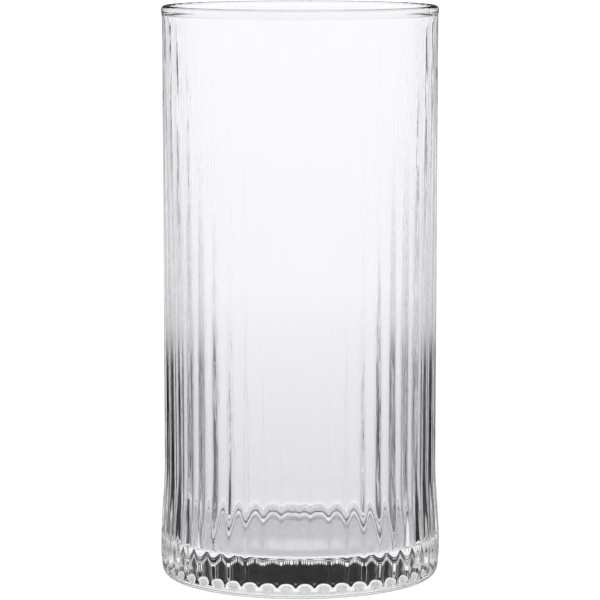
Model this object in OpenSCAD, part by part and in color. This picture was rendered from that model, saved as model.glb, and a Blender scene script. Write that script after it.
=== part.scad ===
// Fluted highball glass: one piece of clear glass, pressed and blown in a fluted mould.
// Millimetres, +Z up. The origin is the centre of the foot, on the surface that the glass stands on.

/* [Body] */
// Height from the foot to the top of the rim
glass_h = 145; // [120:1:175]
// Diameter across the ridges just under the rim
neck_d = 69.5; // [62:0.5:78]
// Diameter across the ridges at the waist, where the body is narrowest
waist_d = 69.15; // [62:0.05:75]
// Height of the waist above the foot
waist_z = 29.5; // [24:0.5:45]
// Diameter across the ridges at the widest part of the base
base_d = 71.15; // [66:0.05:78]
// Height at which the base starts to draw in towards the waist
flare_z = 8; // [7.5:0.1:12]

/* [Foot] */
// Height of the gently rounded shoulder between the toe and the widest part of the base
shoulder_z = 7; // [6:0.1:7.4]
// How far the shoulder draws in towards the toe
shoulder_in = 0.53; // [0.2:0.01:1]
// Radius of the toe, the small rounding that runs down to the bearing ring
toe_r = 2.4; // [1.5:0.1:2.8]
// Width of the flat bearing ring that the glass stands on
bearing_w = 2; // [1.5:0.1:6]
// How far the lip stands out, where the foot steps out again below the flutes
lip_out = 0.1; // [0.02:0.01:0.2]
// Height of the middle of the lip's step
lip_z = 3.3; // [2.5:0.1:3.6]
// Height over which the lip steps out
lip_h = 2; // [1:0.1:2.4]
// Height that the hollow under the foot gains close to the bearing ring
punt_skirt = 1.8; // [0.8:0.1:3]
// Height that the hollow gains from there to its middle
punt_dome = 0.05; // [0.05:0.05:0.5]
// How tightly the roof of the hollow turns down at its edge, where more is tighter
punt_turn = 12; // [4:1:20]

/* [Rim] */
// Radius of the fire-polished bead that rounds the rim
bead_r = 1.1; // [0.9:0.05:1.4]
// How far the bead stands out from the ridges of the neck
bead_out = 0.2; // [0.1:0.05:0.5]

/* [Flutes] */
// Number of flutes round the glass
flutes = 48; // [36:1:50]
// Depth of a flute below its two rounded ridges, from the foot up to the waist
flute_depth = 0.55; // [0.3:0.05:0.8]
// Depth of a flute just under the rim, where the glass was drawn out
flute_rim_depth = 0.1; // [0.05:0.05:0.6]
// How much wider the hollow of a flute is than a ridge, where 1 makes them alike
ridge_power = 1.12; // [1:0.02:1.4]
// Height at which the lower ends of the flutes run out on the toe
flute_foot_z = 1.4; // [1.2:0.1:1.8]
// Length of the ball-shaped lower end of a flute
foot_tip = 4; // [2:0.1:4]
// Distance from the top of the rim down to the upper ends of the flutes
flute_rim_gap = 2.4; // [2.4:0.1:8]
// Length over which a flute fades out there
rim_tip = 3; // [1:0.1:8]

/* [Inside] */
// Wall below the bead, from the ridges to the inside
wall_top = 2; // [1.6:0.1:3]
// Wall at the waist, from the ridges to the inside
wall_waist = 2.5; // [1.8:0.1:4]
// Wall at the rounded corner of the floor, from the widest part of the base to the inside
wall_base = 3.5; // [2.5:0.1:6]
// Height of the inside floor at its rounded corner
floor_z = 10; // [7:0.1:14]
// How much the middle of the inside floor dips below its edge
floor_dip = 0.3; // [0.1:0.1:1.5]
// Radius of the rounded corner between the inside wall and the floor
corner_r = 0.9; // [0.5:0.1:8]

/* [Hidden] */

// Points across one flute, from a ridge to the next
flute_steps = 6;
// Pieces of the toe, foot tip, shoulder, flare, rim tip and bead curves
toe_steps = 2;
foot_tip_steps = 7;
shoulder_steps = 2;
flare_steps = 3;
rim_tip_steps = 2;
bead_steps = 2;
// Pieces of the round outlines that are turned about the axis
turned_steps = 12;
// How far a cut runs past the surface that it opens
overrun = 1;
// Width of the narrow top of the rim between the outside and the inside of the bead
rim_land = 0.2;
smooth = 192;

neck_r = neck_d / 2;
waist_r = waist_d / 2;
base_r = base_d / 2;
// Where the toe hands over to the shoulder, and the slope of both there
shoulder_slope = 2 * atan(shoulder_in / (shoulder_z - toe_r));
toe_top_z = toe_r * (1 - sin(shoulder_slope));
shoulder_h = shoulder_z - toe_top_z;
shoulder_r = shoulder_h / sin(shoulder_slope);
toe_top_r = base_r - shoulder_r * (1 - cos(shoulder_slope));
toe_c = toe_top_r - toe_r * cos(shoulder_slope);
// The hollow under the foot begins where the bearing ring ends
punt_r = toe_c - bearing_w;
bead_c = neck_r + bead_out - bead_r;
bead_z = glass_h - bead_r;
flute_rim_z = glass_h - flute_rim_gap;
// Top of the ball-shaped lower ends of the flutes
foot_tip_z = flute_foot_z + foot_tip;
// Inside radii just under the bead, at the waist and at the rounded corner of the floor
mouth_r = neck_r - wall_top;
middle_r = waist_r - wall_waist;
well_r = base_r - wall_base;
mouth_z = glass_h - 2 * bead_r;

// Points of an arc about [c, z] from angle a to angle b
function arc(c, z, r, a, b, steps) =
    [for (i = [0:steps]) let (t = a + (b - a) * i / steps) [c + r * cos(t), z + r * sin(t)]];

// An S-curve as a share: 1 where t is 0, easing to 0 where t is 1
function ease_share(t) = (1 + cos(180 * max(0, min(1, t)))) / 2;

// Radius of the ridges on the shoulder and on the body between the waist and the bead
function shoulder_r_at(z) = base_r - shoulder_r + sqrt(shoulder_r ^ 2 - (shoulder_z - z) ^ 2);
function body_r_at(z) = waist_r + (neck_r - waist_r) * (z - waist_z) / (bead_z - waist_z);

// How far the lip stands out from the outline at height z
function lip_at(z) = lip_out * ease_share((z - lip_z + lip_h / 2) / lip_h);

// Heights from above low up to high in even steps
function heights(low, high, steps) = [for (i = [1:steps]) low + (high - low) * i / steps];

// Outline of the ridges as [radius, height] without the lip, from the bearing ring up to the top of the rim
bare_outline = concat(
    arc(toe_c, toe_r, toe_r, -90, -shoulder_slope, toe_steps),
    [for (z = concat(
            heights(toe_top_z, foot_tip_z, foot_tip_steps),
            heights(foot_tip_z, shoulder_z, shoulder_steps)))
        [shoulder_r_at(z), z]],
    [for (i = [0:flare_steps])
        let (t = i / flare_steps)
        [waist_r + (base_r - waist_r) * ease_share(t), flare_z + (waist_z - flare_z) * t]],
    [for (z = concat([flute_rim_z - rim_tip], heights(flute_rim_z - rim_tip, flute_rim_z, rim_tip_steps)))
        [body_r_at(z), z]],
    arc(bead_c, bead_z, bead_r, 0, 90, bead_steps)
);
ridge_outline = [for (p = bare_outline) [p[0] + lip_at(p[1]), p[1]]];

// Depth in the middle of a flute at height z: full up to the waist, less towards the rim, none beyond its end
function middle_dip(z) =
    (flute_depth + (flute_rim_depth - flute_depth) * max(0, (z - waist_z) / (flute_rim_z - waist_z)))
    * (1 - ease_share((flute_rim_z - z) / rim_tip));

// Depth of the glass surface below the ridges at height z, a share u of the way from one ridge to the next
function flute_dip(z, u) =
    let (into_tip_share = max(0, (foot_tip_z - z) / foot_tip))
    middle_dip(z) * ease_share(norm([2 * u - 1, into_tip_share]) ^ ridge_power);

// One turn of points round the axis for a point of the ridge outline
function fluted_ring(p) =
    [for (k = [0:flutes * flute_steps - 1])
        let (
            a = 360 * (k / flute_steps - 0.5) / flutes - 90,
            r = p[0] - flute_dip(p[1], (k % flute_steps) / flute_steps)
        )
        [r * cos(a), r * sin(a), p[1]]];

// The fluted outside as a closed solid: rings of points joined by triangles, with a flat cap at each end
module fluted_outside() {
    turn = flutes * flute_steps;
    rings = len(ridge_outline);
    points = [for (p = ridge_outline) each fluted_ring(p)];
    sides = [for (i = [0:rings - 2], k = [0:turn - 1])
        let (a = i * turn + k, b = i * turn + (k + 1) % turn)
        each [[a, a + turn, b], [b, a + turn, b + turn]]];
    foot = [[for (k = [0:turn - 1]) k]];
    top = [[for (k = [0:turn - 1]) rings * turn - 1 - k]];
    polyhedron(points = points, faces = concat(foot, sides, top), convexity = 4);
}

// The inside of the glass: the drawn wall, a rounded corner and a floor that dips towards the middle
module inside() {
    corner_z = floor_z + corner_r;
    top_z = glass_h + overrun;
    rotate_extrude($fn = smooth)
        polygon(concat(
            [[0, floor_z - floor_dip]],
            [for (i = [1:turned_steps])
                let (t = i / turned_steps)
                [(well_r - corner_r) * t, floor_z - floor_dip * ease_share(t)]],
            [for (p = arc(well_r - corner_r, corner_z, corner_r, -90, 0, turned_steps))
                if (p[1] > floor_z) p],
            [for (i = [1:turned_steps])
                let (t = i / turned_steps)
                [middle_r + (well_r - middle_r) * ease_share(t), corner_z + (waist_z - corner_z) * t]],
            [for (i = [1:turned_steps])
                let (t = i / turned_steps)
                [middle_r + (mouth_r - middle_r) * t ^ 2, waist_z + (mouth_z - waist_z) * t]],
            [for (p = arc(bead_c, bead_z, bead_r, 180, 90, turned_steps))
                if (p[0] < bead_c - rim_land / 2) p],
            [[bead_c - rim_land / 2, glass_h], [bead_c - rim_land / 2, top_z], [0, top_z]]
        ));
}

// The hollow under the foot: almost flat, and turned down near its edge to the narrow bearing ring
module punt() {
    rotate_extrude($fn = smooth)
        polygon(concat(
            [for (i = [0:turned_steps])
                let (t = 1 - (1 - i / turned_steps) ^ 2)
                [punt_r * t, punt_dome * (1 - t ^ 2) + punt_skirt * (1 - t ^ punt_turn)]],
            [[punt_r, -overrun], [0, -overrun]]
        ));
}

module glass_body() {
    color([0.87, 0.91, 0.93])
        difference() {
            fluted_outside();
            inside();
            punt();
        }
}

glass_body();
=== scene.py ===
"""Fluted highball glass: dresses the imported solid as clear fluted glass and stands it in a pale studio."""

import random
from math import atan, cos, hypot, pi, radians, sin, sqrt

import bpy
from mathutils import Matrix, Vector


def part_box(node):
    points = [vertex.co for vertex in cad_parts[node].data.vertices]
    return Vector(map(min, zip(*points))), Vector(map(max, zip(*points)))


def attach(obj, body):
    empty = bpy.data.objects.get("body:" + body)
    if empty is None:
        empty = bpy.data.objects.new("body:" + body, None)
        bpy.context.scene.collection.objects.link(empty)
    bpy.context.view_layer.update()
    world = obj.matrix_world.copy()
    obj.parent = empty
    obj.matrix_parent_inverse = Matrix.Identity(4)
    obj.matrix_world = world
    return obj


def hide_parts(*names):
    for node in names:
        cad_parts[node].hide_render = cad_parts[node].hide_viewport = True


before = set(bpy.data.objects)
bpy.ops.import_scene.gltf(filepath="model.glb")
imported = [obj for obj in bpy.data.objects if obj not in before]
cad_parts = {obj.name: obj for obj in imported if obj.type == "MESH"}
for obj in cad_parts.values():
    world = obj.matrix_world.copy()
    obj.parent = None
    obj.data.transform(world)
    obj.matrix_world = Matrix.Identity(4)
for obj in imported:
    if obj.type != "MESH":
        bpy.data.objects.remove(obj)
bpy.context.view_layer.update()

# The glass was drawn in millimetres, 145 high. The frame says how long a millimetre is here.
GLASS_HIGH = 145.0
foot_corner, rim_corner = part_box("glass_body")
mm = (rim_corner[2] - foot_corner[2]) / GLASS_HIGH

# Body, across the ridges
NECK_R = 34.75
WAIST_R = 34.575
WAIST_Z = 29.5
BASE_R = 35.575
FLARE_Z = 8.0

# Foot: the shoulder, the toe that rounds it off below, and the flat bearing ring
SHOULDER_Z = 7.0
SHOULDER_IN = 0.53
TOE_R = 2.4
BEARING_W = 2.0
# The lip, where the ridges step out again at the foot
LIP_OUT = 0.1
LIP_Z = 3.3
LIP_HIGH = 2.0
# The hollow under the foot. Its roof is almost flat, and curves down to the bearing ring near its edge.
PUNT_DOME = 0.05
PUNT_SKIRT = 1.8
SKIRT_POWER = 12
# The random stipple of the bearing ring: its height, where it begins, and over what width it grows
STIPPLE_HIGH = 0.03
STIPPLE_FROM = 24.0
STIPPLE_FADE = 4.0
STIPPLE_SEED = 48

# Rim: the bead, and the swell that leads the wall out to it
BEAD_R = 1.1
BEAD_OUT = 0.2
SWELL_HIGH = 1.6
# How far the bead's inside goes on below its middle before the wall begins, in degrees
BEAD_TUCK = 20

# Flutes
FLUTES = 48
FLUTE_DEPTH = 0.55
FLUTE_RIM_DEPTH = 0.1
FLUTE_FOOT_Z = 1.4
FLUTE_RIM_Z = 142.6
FOOT_TIP = 4.0
RIM_TIP = 3.0
RIDGE_POWER = 1.12

# Inside
WALL_TOP = 2.0
WALL_WAIST = 2.5
WALL_BASE = 3.5
FLOOR_Z = 10.0
FLOOR_DIP = 0.3
CORNER_R = 0.9

# Fineness of the mesh: points across a flute, pieces of each curve, and steps up the outside in millimetres
FLUTE_STEPS = 12
CURVE_STEPS = 12
LONG_STEPS = 24
UNDER_STEPS = 40
RING_STEPS = 6
FINE_STEP = 0.12
COARSE_STEP = 0.35
TURN = FLUTES * FLUTE_STEPS

# Tint of the glass where the wall is thick and thin, and the heights between which it changes
TINT_THICK = (0.905, 0.908, 0.926, 1.0)
TINT_THIN = (0.944, 0.945, 0.966, 1.0)
TINT_LOW_Z = 5.0
TINT_HIGH_Z = 130.0
# Slow drift of the tint round the glass. The scales of this and of the patterns below are for metres.
TINT_DRIFT = 0.2
DRIFT_SCALE = 60.0
DRIFT_DETAIL = 1.0
DRIFT_MIDDLE = 0.5
# Streaks drawn up the wall, which fade out towards the foot. A low share draws them longer.
STREAK_BUMP = 0.3
STREAK_LOW_Z = 12.0
STREAK_FULL_Z = 40.0
STREAK_SCALE = 900.0
DRAWN_SHARE = 0.04
# Sand texture of what faces down, by how far its normal points down
SAND_BUMP = 1.2
SAND_SCALE = 3000.0
SAND_FULL_TILT = -0.9
SAND_NO_TILT = -0.6
FINE_DETAIL = 2.0
# Metres of relief for a bump of 1
RELIEF = 0.0001
GLASS_IOR = 1.52

# Camera: millimetres from the glass's axis and above the floor, degrees down and round, and its lens
CAMERA_AWAY = 841.6
CAMERA_HIGH = 175.0
CAMERA_TILT = 7.09
CAMERA_TURN = 2.04
LENS_LONG = 200.31
SENSOR_WIDE = 36.0
# How often light may pass or bounce inside the thick fluted wall
GLASS_BOUNCES = 24
GLOSS_BOUNCES = 12

# Share of the studio's light that reflections in the glass show
REFLECTED_LIGHT = 0.1
# The studio by height above the horizon, in degrees: a white sweep, a dark band, and a soft light overhead
SWEEP_TOP = 8.5
DARK_FROM = 10.0
DARK_TO = 38.0
OVERHEAD_FROM = 44.0
SWEEP_LIGHT = 1.05
DARK_LIGHT = 0.006
OVERHEAD_LIGHT = 1.6
FLOOR_LIGHT = 1.05
# Half the floor's side, and the share by which the glass sees the floor darker round its foot, a painted
# shadow of the glass, between three distances, in metres
FLOOR_HALF = 40.0
FLOOR_PAINTED_SHADOW = 0.16
FLOOR_PAINTED_SHADOW_FROM = 0.05
FLOOR_PAINTED_SHADOW_FULL = 0.09
FLOOR_PAINTED_SHADOW_END = 0.6
# The dark cards beside the glass, in metres and in degrees round it from straight behind it
CARD_MIDDLE = 67.0
CARD_HALF = 28.0
CARD_AWAY = 0.06
CARD_HIGH = 0.12
CARD_BOTTOM = 0.001
CARD_EDGE = 0.047
CARD_SOFT = 0.014
CARD_SOLID_SHARE = 0.7
# How much of the light a card still holds back above its edge
CARD_FAINT = 0.4
CARD_COLOUR = (0.004, 0.004, 0.005, 1.0)
CARD_STEPS = 24

# The toe hands over to the shoulder where both have this slope
toe_slope = 2 * atan(SHOULDER_IN / (SHOULDER_Z - TOE_R))
toe_top_z = TOE_R * (1 - sin(toe_slope))
shoulder_r = (SHOULDER_Z - toe_top_z) / sin(toe_slope)
toe_c = BASE_R - shoulder_r * (1 - cos(toe_slope)) - TOE_R * cos(toe_slope)
bead_c = NECK_R + BEAD_OUT - BEAD_R
bead_z = GLASS_HIGH - BEAD_R
foot_tip_z = FLUTE_FOOT_Z + FOOT_TIP
rim_tip_z = FLUTE_RIM_Z - RIM_TIP
grain = random.Random(STIPPLE_SEED)


class Wire:
    """The value of a node's output, so that shader maths reads as a Python expression."""

    def __init__(self, sheet, socket):
        self.sheet = sheet
        self.socket = socket

    def __add__(self, other):
        return self.sheet.math("ADD", self, other)

    def __sub__(self, other):
        return self.sheet.math("SUBTRACT", self, other)

    def __rsub__(self, other):
        return self.sheet.math("SUBTRACT", other, self)

    def __mul__(self, other):
        return self.sheet.math("MULTIPLY", self, other)

    __radd__ = __add__
    __rmul__ = __mul__


class Sheet:
    """The nodes of one material or of the studio's light."""

    def __init__(self, owner):
        owner.use_nodes = True
        self.tree = owner.node_tree

    def node(self, kind, settings, sockets, output=0):
        """Adds a node, with its settings first and then its sockets, and gives one of its outputs."""
        made = self.tree.nodes.new(kind)
        for name, value in settings.items():
            setattr(made, name, value)
        self.fill(made, sockets)
        return Wire(self, made.outputs[output])

    def fill(self, made, sockets):
        """Gives a node's sockets their links and values."""
        for name, value in sockets.items():
            if isinstance(value, Wire):
                self.tree.links.new(value.socket, made.inputs[name])
            else:
                made.inputs[name].default_value = value

    def ready(self, kind):
        """The node of that kind that the sheet starts with."""
        return next(n for n in self.tree.nodes if n.bl_idname == kind)

    def math(self, operation, *values):
        return self.node("ShaderNodeMath", {"operation": operation}, dict(enumerate(values)))

    def along(self, axis, vector):
        """How long a vector is along X, Y or Z."""
        return self.node("ShaderNodeSeparateXYZ", {}, {0: vector}, axis)

    def noise(self, place, scale, detail):
        return self.node("ShaderNodeTexNoise", {}, {"Vector": place, "Scale": scale, "Detail": detail})

    def ray_is(self, kind):
        """1 where the ray that arrives is of that kind, such as Camera or Reflection, and 0 elsewhere."""
        return self.node("ShaderNodeLightPath", {}, {}, f"Is {kind} Ray")

    def spread(self, value, low, high, at_low, at_high, way="SMOOTHSTEP"):
        """Takes a value from one range to another, held at both ends."""
        return self.node("ShaderNodeMapRange", {"interpolation_type": way, "clamp": True},
                         {0: value, 1: low, 2: high, 3: at_low, 4: at_high})


def arc(centre_r, centre_z, radius, start, end, steps):
    """Points (radius, height) of an arc from one angle to another, without its first point."""
    angles = [start + (end - start) * i / steps for i in range(1, steps + 1)]
    return [(centre_r + radius * cos(a), centre_z + radius * sin(a)) for a in angles]


def heights(low, high, step):
    """Heights from above low up to high, evenly spaced and about step apart."""
    count = max(1, round((high - low) / step))
    return [low + (high - low) * i / count for i in range(1, count + 1)]


def shoulder_at(z):
    """Radius of the ridges on the shoulder at height z."""
    return BASE_R - shoulder_r + sqrt(shoulder_r ** 2 - (SHOULDER_Z - z) ** 2)


def flare_at(z):
    """Radius of the ridges between the base and the waist at height z."""
    share = (z - FLARE_Z) / (WAIST_Z - FLARE_Z)
    return WAIST_R + (BASE_R - WAIST_R) * (1 + cos(pi * share)) / 2


def body_at(z):
    """Radius of the ridges above the waist at height z."""
    return WAIST_R + (NECK_R - WAIST_R) * (z - WAIST_Z) / (bead_z - WAIST_Z)


def swell_at(z):
    """How far the wall swells out at height z, just under the bead."""
    return BEAD_OUT * (1 + cos(pi * min(1.0, (bead_z - z) / SWELL_HIGH))) / 2


def lip_at(z):
    """How far the lip stands out at height z."""
    share = min(1.0, max(0.0, (LIP_Z + LIP_HIGH / 2 - z) / LIP_HIGH))
    return LIP_OUT * (1 - cos(pi * share)) / 2


def outside_outline():
    """The ridges' outline as (radius, height), from the bearing ring up to the top of the rim."""
    points = [(toe_c, 0.0)]
    points += arc(toe_c, TOE_R, TOE_R, -pi / 2, -toe_slope, CURVE_STEPS)
    points += [(shoulder_at(z), z) for z in heights(toe_top_z, foot_tip_z, FINE_STEP)]
    points += [(shoulder_at(z), z) for z in heights(foot_tip_z, SHOULDER_Z, COARSE_STEP)]
    flare_step = (WAIST_Z - FLARE_Z) / LONG_STEPS
    points += [(flare_at(z), z) for z in [FLARE_Z] + heights(FLARE_Z, WAIST_Z, flare_step)]
    body_step = (rim_tip_z - WAIST_Z) / CURVE_STEPS
    points += [(body_at(z), z) for z in heights(WAIST_Z, rim_tip_z, body_step)]
    points += [(body_at(z) + swell_at(z), z) for z in heights(rim_tip_z, bead_z, FINE_STEP)]
    points += arc(bead_c, bead_z, BEAD_R, 0, pi / 2, CURVE_STEPS)
    return points


def inside_outline():
    """The inside as (radius, height), from the top of the rim down to near the middle of the floor."""
    mouth_r = NECK_R - WALL_TOP
    middle_r = WAIST_R - WALL_WAIST
    well_r = BASE_R - WALL_BASE
    mouth_z = GLASS_HIGH - 2 * BEAD_R
    corner_z = FLOOR_Z + CORNER_R
    points = arc(bead_c, bead_z, BEAD_R, pi / 2, pi + radians(BEAD_TUCK), CURVE_STEPS)
    for i in range(LONG_STEPS + 1):
        share = 1 - i / LONG_STEPS
        points.append((middle_r + (mouth_r - middle_r) * share ** 2, WAIST_Z + (mouth_z - WAIST_Z) * share))
    for i in range(1, CURVE_STEPS + 1):
        share = i / CURVE_STEPS
        easing = (1 - cos(pi * share)) / 2
        points.append((middle_r + (well_r - middle_r) * easing, WAIST_Z + (corner_z - WAIST_Z) * share))
    floor_r = well_r - CORNER_R
    points += arc(floor_r, corner_z, CORNER_R, 0, -pi / 2, CURVE_STEPS)
    for i in range(1, LONG_STEPS):
        share = 1 - i / LONG_STEPS
        points.append((floor_r * share, FLOOR_Z - FLOOR_DIP * (1 + cos(pi * share)) / 2))
    return points


def underside_outline():
    """The underside as (radius, height), from near the middle of the hollow out to the bearing ring."""
    punt_r = toe_c - BEARING_W
    shares = [1 - (1 - i / UNDER_STEPS) ** 2 for i in range(1, UNDER_STEPS + 1)]
    points = [(punt_r * share, PUNT_DOME * (1 - share ** 2) + PUNT_SKIRT * (1 - share ** SKIRT_POWER))
              for share in shares]
    return points + [(punt_r + (BEARING_W + LIP_OUT) * i / RING_STEPS, 0.0) for i in range(1, RING_STEPS)]


def stipple_at(radius):
    """Height of the underside's stipple at that radius: full on the bearing ring, none in the middle."""
    return STIPPLE_HIGH * min(1.0, max(0.0, (radius - STIPPLE_FROM) / STIPPLE_FADE))


def flute_dip(z, across):
    """Depth below the ridges at height z. across is 0 in the middle of a flute and 1 at a ridge."""
    into_tip = max(0.0, (foot_tip_z - z) / FOOT_TIP)
    away = min(1.0, hypot(across, into_tip))
    left_at_rim = min(1.0, max(0.0, (FLUTE_RIM_Z - z) / RIM_TIP))
    up = max(0.0, (z - WAIST_Z) / (FLUTE_RIM_Z - WAIST_Z))
    depth = (FLUTE_DEPTH + (FLUTE_RIM_DEPTH - FLUTE_DEPTH) * up) * (1 - cos(pi * left_at_rim)) / 2
    return depth * (1 + cos(pi * away ** RIDGE_POWER)) / 2


def ring_of(radius, z, fluted, rough=0.0):
    """One turn of points round the axis, with a flute's middle at -Y. rough is the most that one rises."""
    points = []
    for k in range(TURN):
        angle = 2 * pi * k / TURN - pi / 2 - pi / FLUTES
        across = abs(2 * (k % FLUTE_STEPS) / FLUTE_STEPS - 1)
        r = radius - flute_dip(z, across) if fluted else radius
        lift = rough * grain.random() if rough else 0.0
        points.append((r * cos(angle) * mm, r * sin(angle) * mm, (z + lift) * mm))
    return points


def fluted_glass():
    """The whole glass as one closed skin: underside, fluted outside, bead, inside and floor."""
    rings = [ring_of(r, z, False, stipple_at(r)) for r, z in underside_outline()]
    rings += [ring_of(r + lip_at(z), z, FLUTE_FOOT_Z < z < FLUTE_RIM_Z) for r, z in outside_outline()]
    rings += [ring_of(r, z, False) for r, z in inside_outline()]
    verts = [(0.0, 0.0, (PUNT_DOME + PUNT_SKIRT) * mm)]
    for ring in rings:
        verts += ring
    verts.append((0.0, 0.0, (FLOOR_Z - FLOOR_DIP) * mm))
    faces = []
    for k in range(TURN):
        following = (k + 1) % TURN
        faces.append((0, 1 + following, 1 + k))
        for low in range(1, 1 + (len(rings) - 1) * TURN, TURN):
            faces.append((low + k, low + following, low + TURN + following, low + TURN + k))
        last = 1 + (len(rings) - 1) * TURN
        faces.append((len(verts) - 1, last + k, last + following))
    mesh = bpy.data.meshes.new("fluted_glass")
    mesh.from_pydata(verts, [], faces)
    mesh.polygons.foreach_set("use_smooth", [True] * len(mesh.polygons))
    mesh.update()
    return mesh


def clear_glass():
    """Clear soda-lime glass: a cool tint that deepens downwards, drawn streaks, and a sandy underside."""
    finish = bpy.data.materials.new("clear_glass")
    sheet = Sheet(finish)
    place = sheet.node("ShaderNodeTexCoord", {}, {}, "Object")
    high = sheet.along("Z", place)
    drawn = sheet.node("ShaderNodeVectorMath", {"operation": "MULTIPLY"},
                       {0: place, 1: (1.0, 1.0, DRAWN_SHARE)})
    drift = sheet.noise(drawn, DRIFT_SCALE, DRIFT_DETAIL) - DRIFT_MIDDLE
    thin = sheet.spread(high, TINT_LOW_Z * mm, TINT_HIGH_Z * mm, 0.0, 1.0, "LINEAR") + drift * TINT_DRIFT
    tint = sheet.node("ShaderNodeMix", {"data_type": "RGBA"}, {0: thin, 6: TINT_THICK, 7: TINT_THIN}, 2)
    on_wall = sheet.spread(high, STREAK_LOW_Z * mm, STREAK_FULL_Z * mm, 0.0, STREAK_BUMP)
    tilt = sheet.along("Z", sheet.node("ShaderNodeNewGeometry", {}, {}, "Normal"))
    faces_down = sheet.spread(tilt, SAND_FULL_TILT, SAND_NO_TILT, 1.0, 0.0)
    sand = sheet.noise(place, SAND_SCALE, FINE_DETAIL) * faces_down * SAND_BUMP
    relief = sheet.noise(drawn, STREAK_SCALE, FINE_DETAIL) * on_wall + sand
    bump = sheet.node("ShaderNodeBump", {}, {"Strength": 1.0, "Distance": RELIEF, "Height": relief})
    sheet.fill(sheet.ready("ShaderNodeBsdfPrincipled"),
               {"Base Color": tint, "Roughness": 0.0, "IOR": GLASS_IOR,
                "Transmission Weight": 1.0, "Normal": bump})
    return finish


def studio_floor():
    """A floor that is white to the camera, and that the glass shows a little darker round its foot, as a
    painted shadow.
    """
    half = FLOOR_HALF
    corners = [(-half, -half, 0.0), (half, -half, 0.0), (half, half, 0.0), (-half, half, 0.0)]
    mesh = bpy.data.meshes.new("studio_floor")
    mesh.from_pydata(corners, [], [(0, 1, 2, 3)])
    finish = bpy.data.materials.new("studio_floor")
    sheet = Sheet(finish)
    place = sheet.node("ShaderNodeTexCoord", {}, {}, "Object")
    distance = sheet.node("ShaderNodeVectorMath", {"operation": "LENGTH"}, {0: place}, "Value")
    # Painted shadow: seen through the glass, the floor's colour darkens in a soft ring round the glass's
    # foot and fades out further away
    painted_shadow = sheet.spread(distance, FLOOR_PAINTED_SHADOW_FROM, FLOOR_PAINTED_SHADOW_FULL, 0.0, FLOOR_PAINTED_SHADOW)
    painted_shadow = painted_shadow * sheet.spread(distance, FLOOR_PAINTED_SHADOW_FULL, FLOOR_PAINTED_SHADOW_END, 1.0, 0.0, "LINEAR")
    in_gloss = sheet.ray_is("Reflection") * (1.0 - REFLECTED_LIGHT)
    shade = (1.0 - painted_shadow * (1.0 - sheet.ray_is("Camera"))) * (1.0 - in_gloss)
    sheet.fill(sheet.ready("ShaderNodeBsdfPrincipled"),
               {"Base Color": shade, "Roughness": 1.0, "Specular IOR Level": 0.0})
    mesh.materials.append(finish)
    floor = bpy.data.objects.new("studio_floor", mesh)
    bpy.context.scene.collection.objects.link(floor)


def studio_light():
    """The light all round: white sweep, dark band and soft light overhead, and even light on the floor."""
    world = bpy.data.worlds.new("studio")
    bpy.context.scene.world = world
    sheet = Sheet(world)
    up = sheet.along("Z", sheet.node("ShaderNodeTexCoord", {}, {}, "Generated"))
    sweep = sheet.spread(up, sin(radians(SWEEP_TOP)), sin(radians(DARK_FROM)), SWEEP_LIGHT, DARK_LIGHT)
    overhead = sheet.spread(up, sin(radians(DARK_TO)), sin(radians(OVERHEAD_FROM)), 0.0, OVERHEAD_LIGHT)
    in_gloss = sheet.ray_is("Reflection") * (1.0 - REFLECTED_LIGHT)
    on_floor = sheet.ray_is("Diffuse")
    light = (sweep + overhead) * (1.0 - in_gloss) * (1.0 - on_floor) + on_floor * FLOOR_LIGHT
    sheet.fill(sheet.ready("ShaderNodeBackground"), {"Color": (1.0, 1.0, 1.0, 1.0), "Strength": light})


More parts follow.
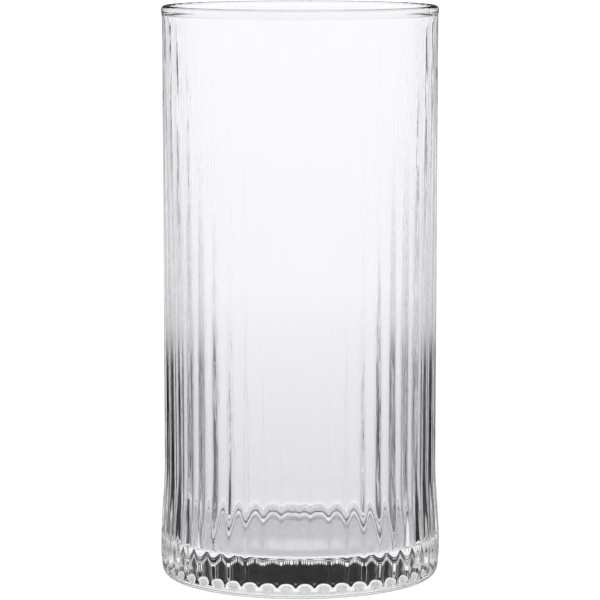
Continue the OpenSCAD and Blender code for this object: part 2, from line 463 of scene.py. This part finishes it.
def dark_card(middle):
    """A low dark card that bends round the glass at that many degrees, and that only the glass shows."""
    verts, faces = [], []
    for i in range(CARD_STEPS + 1):
        angle = radians(middle - CARD_HALF + 2 * CARD_HALF * i / CARD_STEPS)
        verts += [(CARD_AWAY * sin(angle), CARD_AWAY * cos(angle), z) for z in (0.0, CARD_HIGH)]
    for i in range(CARD_STEPS):
        faces.append((2 * i, 2 * i + 2, 2 * i + 3, 2 * i + 1))
    mesh = bpy.data.meshes.new("dark_card")
    mesh.from_pydata(verts, [], faces)
    finish = bpy.data.materials.new("dark_card")
    sheet = Sheet(finish)
    place = sheet.node("ShaderNodeTexCoord", {}, {}, "Object")
    high = sheet.along("Z", place)
    turned = sheet.math("ARCTAN2", sheet.along("X", place), sheet.along("Y", place))
    aside = sheet.math("ABSOLUTE", turned - radians(middle))
    cover = sheet.spread(high, CARD_EDGE, CARD_EDGE + CARD_SOFT, 1.0 - CARD_FAINT, 0.0)
    cover = cover + sheet.spread(high, CARD_EDGE, CARD_HIGH, CARD_FAINT, 0.0)
    cover = cover * sheet.spread(high, CARD_BOTTOM - CARD_SOFT, CARD_BOTTOM, 0.0, 1.0)
    cover = cover * sheet.spread(aside, radians(CARD_HALF * CARD_SOLID_SHARE), radians(CARD_HALF), 1.0, 0.0)
    clear = sheet.node("ShaderNodeBsdfTransparent", {}, {}, "BSDF")
    felt = sheet.node("ShaderNodeEmission", {}, {"Color": CARD_COLOUR}, "Emission")
    mixed = sheet.node("ShaderNodeMixShader", {}, {0: cover, 1: clear, 2: felt}, "Shader")
    sheet.fill(sheet.ready("ShaderNodeOutputMaterial"), {"Surface": mixed})
    mesh.materials.append(finish)
    card = bpy.data.objects.new("dark_card", mesh)
    bpy.context.scene.collection.objects.link(card)
    card.visible_camera = False
    card.visible_diffuse = False
    card.visible_shadow = False


def studio_camera():
    """The photograph's viewpoint: a little above the rim, looking slightly down, on a long lens."""
    turn = radians(CAMERA_TURN)
    lens = bpy.data.cameras.new("studio_camera")
    lens.lens = LENS_LONG
    lens.sensor_width = SENSOR_WIDE
    camera = bpy.data.objects.new("studio_camera", lens)
    camera.location = (-CAMERA_AWAY * sin(turn) * mm, -CAMERA_AWAY * cos(turn) * mm, CAMERA_HIGH * mm)
    camera.rotation_euler = (pi / 2 - radians(CAMERA_TILT), 0.0, -turn)
    bpy.context.scene.collection.objects.link(camera)
    bpy.context.scene.camera = camera


glass = bpy.data.objects.new("fluted_glass", fluted_glass())
bpy.context.scene.collection.objects.link(glass)
glass.data.materials.append(clear_glass())
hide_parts("glass_body")
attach(glass, "root")
# The floor is lit as if the glass let all the light through, as the soft light of a studio nearly does
glass.visible_shadow = False
glass.visible_diffuse = False

studio_floor()
studio_light()
dark_card(-CARD_MIDDLE)
dark_card(CARD_MIDDLE)
studio_camera()
scene = bpy.context.scene
scene.view_settings.view_transform = "Standard"
scene.cycles.max_bounces = GLASS_BOUNCES
scene.cycles.transmission_bounces = GLASS_BOUNCES
scene.cycles.glossy_bounces = GLOSS_BOUNCES
scene.cycles.transparent_max_bounces = GLASS_BOUNCES
